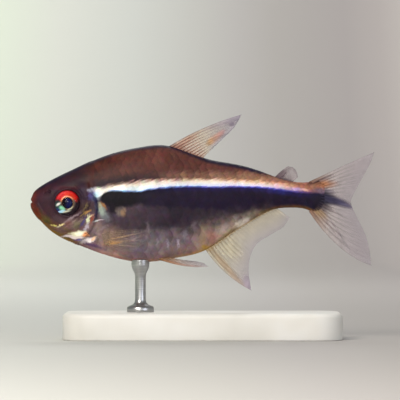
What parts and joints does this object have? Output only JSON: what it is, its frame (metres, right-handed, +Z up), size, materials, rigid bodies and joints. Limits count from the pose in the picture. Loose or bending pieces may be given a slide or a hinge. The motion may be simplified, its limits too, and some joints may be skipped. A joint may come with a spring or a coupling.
{
  "type": "black neon tetra model",
  "caption": "Life-size black neon tetra, deep compressed body, raised dorsal and long anal fin, forked tail, held level by a rod on a flat rounded base.",
  "frame": {"origin": "centre of the stand base's underside, under the middle of the fish's length", "axes": "+X towards the tail along the body, the head faces -X, +Y towards the fish's right side, +Z up"},
  "size_m": [0.0384, 0.015, 0.025],
  "materials": {
    "skin": "wet, finely scaled skin, dark brown over silver-grey",
    "eye": "clear gloss over a red and silver iris",
    "fin": "thin, clear, satin",
    "stand_base": "satin, fine grain",
    "stand_rod": "turned and brushed"
  },
  "bodies": {
    "root": {"head": "skin", "trunk": "skin", "tail": "skin", "eye_left": "eye", "eye_right": "eye", "fin_dorsal": "fin", "fin_adipose": "fin", "fin_caudal_upper": "fin", "fin_caudal_lower": "fin", "fin_anal": "fin", "fin_pelvic_left": "fin", "fin_pelvic_right": "fin", "fin_pectoral_left": "fin", "fin_pectoral_right": "fin", "stand_base": "stand_base", "stand_rod": "stand_rod"}
  },
  "joints": []
}
